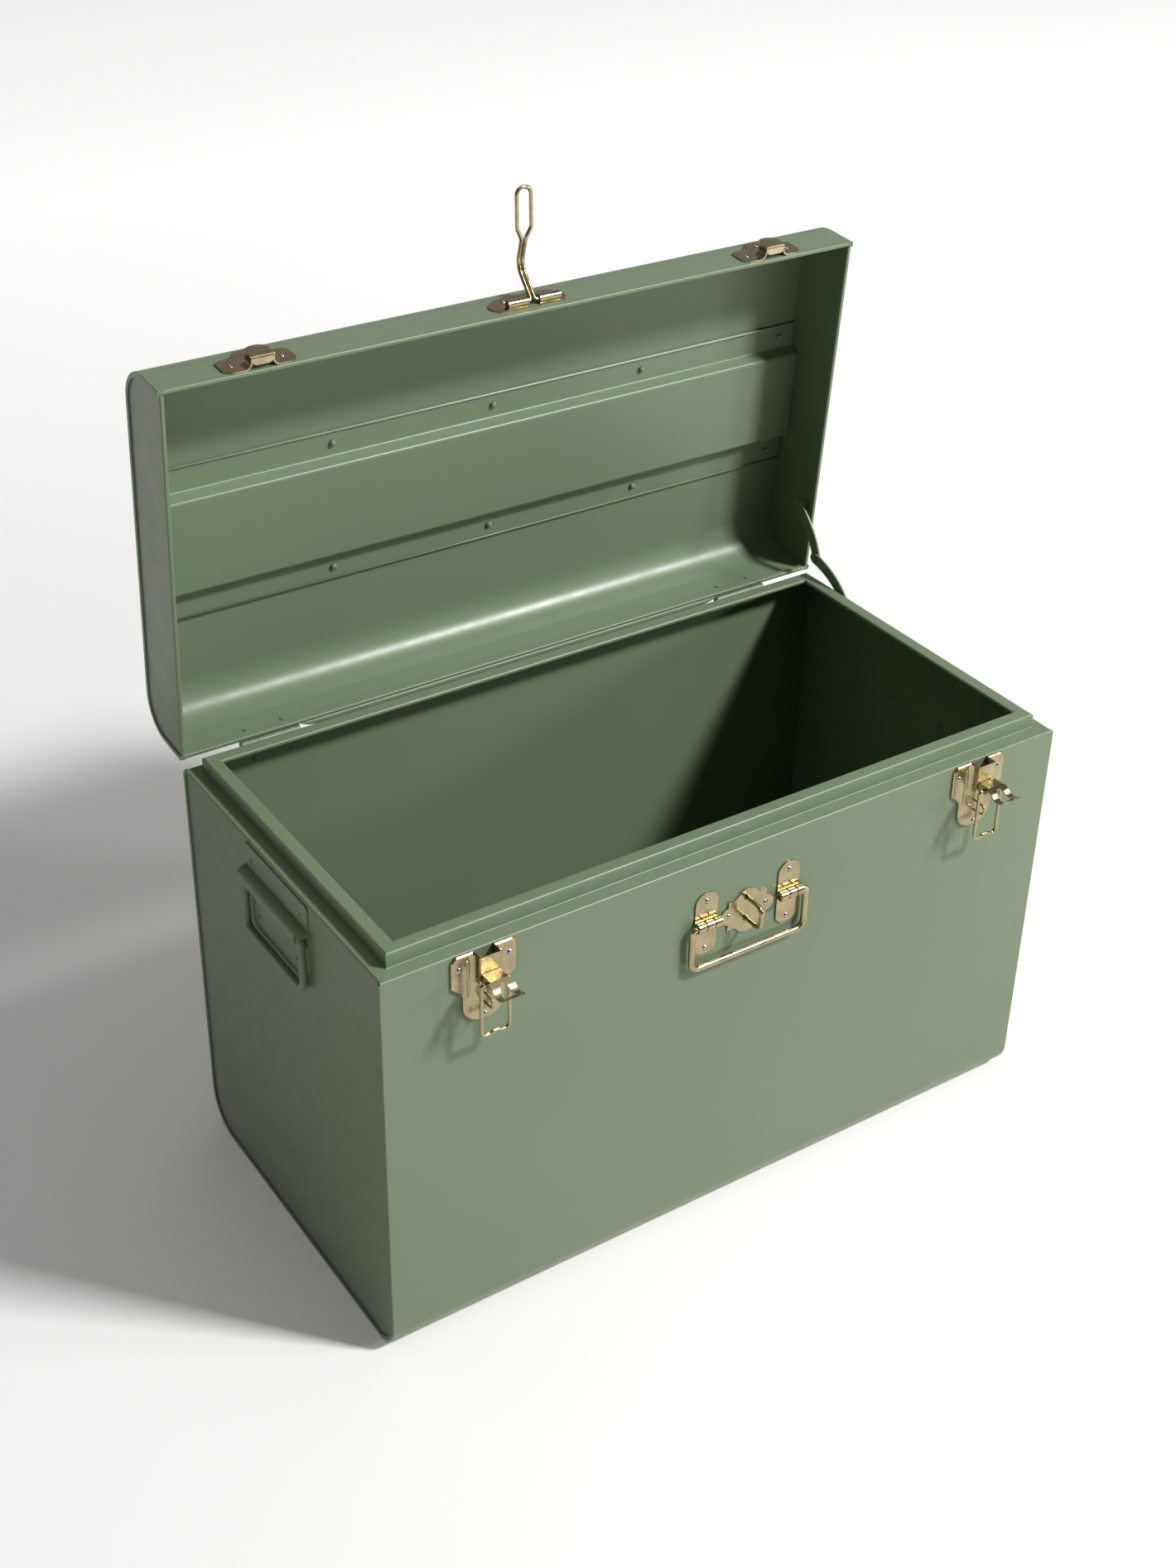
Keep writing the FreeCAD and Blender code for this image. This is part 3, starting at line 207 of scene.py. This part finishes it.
def loft(mesh, rings):
    """Closed skin over rings with equal numbers of points."""
    rows = [[mesh.verts.new(p) for p in ring] for ring in rings]
    count = len(rows[0])
    for low, high in zip(rows, rows[1:]):
        for i in range(count):
            j = (i + 1) % count
            mesh.faces.new((low[i], low[j], high[j], high[i]))
    mesh.faces.new(rows[0])
    mesh.faces.new(rows[-1])


def add_lid_piece(name, mesh, material):
    """Turns a bmesh drawn on the closed lid into an object that rides on the lid."""
    bmesh.ops.recalc_face_normals(mesh, faces=mesh.faces)
    data = bpy.data.meshes.new(name)
    mesh.to_mesh(data)
    mesh.free()
    data.transform(TO_OPEN)
    for face in data.polygons:
        face.use_smooth = True
    piece = bpy.data.objects.new(name, data)
    bpy.context.collection.objects.link(piece)
    dress(piece, material)
    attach(piece, "lid")


def rear_hem_bulge():
    """The rear hem of the lid bulges outward between the hinges until it nearly meets the body."""
    half_length, depth, thick = 0.202, 0.0046, 0.0016
    root_y = LID_REAR_Y - 0.0003
    steps = 20
    mesh = bmesh.new()
    rings = []
    for step in range(-steps, steps + 1):
        x = half_length * math.sin(math.pi / 2 * step / steps)
        reach = 0.0002 + depth * (1 - abs(x / half_length) ** 32)
        rounding = thick / 2 * min(1, reach / thick)
        ring = [Vector((x, root_y, LID_EDGE_Z + thick)), Vector((x, root_y, LID_EDGE_Z))]
        for degrees in range(-90, 91, 30):
            angle = math.radians(degrees)
            ring.append(Vector((x, LID_REAR_Y + reach - rounding * (1 - math.cos(angle)),
                                LID_EDGE_Z + thick / 2 * (1 + math.sin(angle)))))
        rings.append(ring)
    loft(mesh, rings)
    add_lid_piece("lid_rear_hem_bulge", mesh, PAINT)


def stiffener_rivet_tails():
    """Domed tails of the stiffener's rivets, inside the lid."""
    low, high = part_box("stiffener_rivets")
    pitch = (high[0] - low[0] - RIVET_HEAD_WIDTH) / (len(RIVET_STEPS) - 1)
    radius, height = 0.0027, 0.0021
    mesh = bmesh.new()
    for row in (-1, 1):
        for step in RIVET_STEPS:
            centre = Vector((step * pitch, STIFFENER_Y + row * RIVET_ROW,
                             FLANGE_FACE_Z - RIVET_TAIL))
            rings = []
            for degrees in range(0, 90, 15):
                spread = radius * math.cos(math.radians(degrees))
                drop = height * math.sin(math.radians(degrees))
                rings.append([centre + Vector((spread * math.cos(t), spread * math.sin(t), -drop))
                              for t in ROUND])
            loft(mesh, rings)
    add_lid_piece("stiffener_rivet_tails", mesh, PAINT)


def stiffener_edge_beads():
    """A guess: a thin round bead along each flange's edge.

    The front one's paler paint is a painted highlight for a thin bright line there. Nothing
    shows that its paint is worn or that the flange has a hem.
    """
    low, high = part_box("lid_stiffener")
    radius = 0.0008
    # The front bead's paler paint is a painted highlight.
    for name, side, material in (("stiffener_bead_front", -1, PAINTED_HIGHLIGHT_PAINT),
                                 ("stiffener_bead_rear", 1, PAINT)):
        mesh = bmesh.new()
        centre = Vector((0, STIFFENER_Y + side * BEAD_ROW, FLANGE_FACE_Z - radius))
        loft(mesh, [[centre + Vector((x, radius * math.cos(t), radius * math.sin(t)))
                     for t in ROUND] for x in (low[0], high[0])])
        add_lid_piece(name, mesh, material)


# ---------------------------------------------------------------- stage
FLOOR_TURN = math.radians(-33.8)        # the wall stands square to the camera
FLOOR_FRONT, FLOOR_REAR, FLOOR_HALF_WIDTH = -40.0, 7.0, 40
WALL_ROUND, WALL_TOP = 3, 9.0


def floor_material():
    """Matt white with a glow of its own that evens out the floor.

    It grows with distance and behind the trunk, and fades to nothing 0.8 m up the wall.
    """
    n = Nodes("floor_white")
    n.link(n.blend(n.noise(0.7, 2.0), (0.71, 0.702, 0.690), (0.74, 0.732, 0.720)), "Base Color")
    n.set("Roughness", 0.9)
    n.set("Emission Color", (1.0, 0.985, 0.965, 1))
    far = n.add("ShaderNodeVectorMath", {0: n.place()}, operation="LENGTH").outputs["Value"]
    parts = n.add("ShaderNodeSeparateXYZ", {"Vector": n.place()}).outputs
    glow = n.span(far, 0.12, 0.50, 0.9, 2.6)
    low = n.span(parts["Z"], 1.0, 0.0, 0.02, 0.8)
    beyond = n.span(parts["Y"], 0.6, 1.0, -0.5, 1.5)
    n.link(n.product(n.product(glow, low), beyond), "Emission Strength")
    return n.material


def make_stage():
    mesh = bmesh.new()
    profile = [(FLOOR_FRONT, 0.0), (FLOOR_REAR, 0.0)]
    profile += [(FLOOR_REAR + WALL_ROUND * math.sin(math.radians(a)),
                 WALL_ROUND - WALL_ROUND * math.cos(math.radians(a))) for a in range(10, 91, 10)]
    profile += [(FLOOR_REAR + WALL_ROUND, WALL_TOP)]
    rows = [[mesh.verts.new((x, y, z)) for x in (-FLOOR_HALF_WIDTH, FLOOR_HALF_WIDTH)]
            for y, z in profile]
    for low, high in zip(rows, rows[1:]):
        mesh.faces.new((low[0], low[1], high[1], high[0])).smooth = True
    data = bpy.data.meshes.new("floor")
    mesh.to_mesh(data)
    mesh.free()
    floor = bpy.data.objects.new("floor", data)
    floor.rotation_euler.z = FLOOR_TURN
    bpy.context.collection.objects.link(floor)
    dress(floor, floor_material())


# name, place, aim, side of the square, power in watts
LIGHTS = (("low_key", (4.5, -3.15, 1.60), (0, 0, 0.25), 0.54, 80),
          ("key", (2.6, -3.0, 4.3), (0, 0, 0.25), 0.75, 415),
          ("overhead", (0.0, 0.3, 3.6), (0, 0, 0.3), 2.6, 24))


def make_light():
    for name, place, aim, size, power in LIGHTS:
        data = bpy.data.lights.new(name, "AREA")
        data.shape = "RECTANGLE"
        data.size = data.size_y = size
        data.energy = power
        light = bpy.data.objects.new(name, data)
        light.location = place
        aim_line = Vector(aim) - Vector(place)
        light.rotation_euler = aim_line.to_track_quat("-Z", "Y").to_euler()
        bpy.context.collection.objects.link(light)
    world = bpy.data.worlds.new("studio")
    world.use_nodes = True
    background = world.node_tree.nodes["Background"]
    background.inputs["Color"].default_value = (1.0, 0.975, 0.93, 1)
    background.inputs["Strength"].default_value = 0.12
    bpy.context.scene.world = world
    bpy.context.scene.view_settings.view_transform = "Standard"


make_camera()
dress_frame()
soften_edges()
rear_hem_bulge()
stiffener_rivet_tails()
stiffener_edge_beads()
make_stage()
make_light()
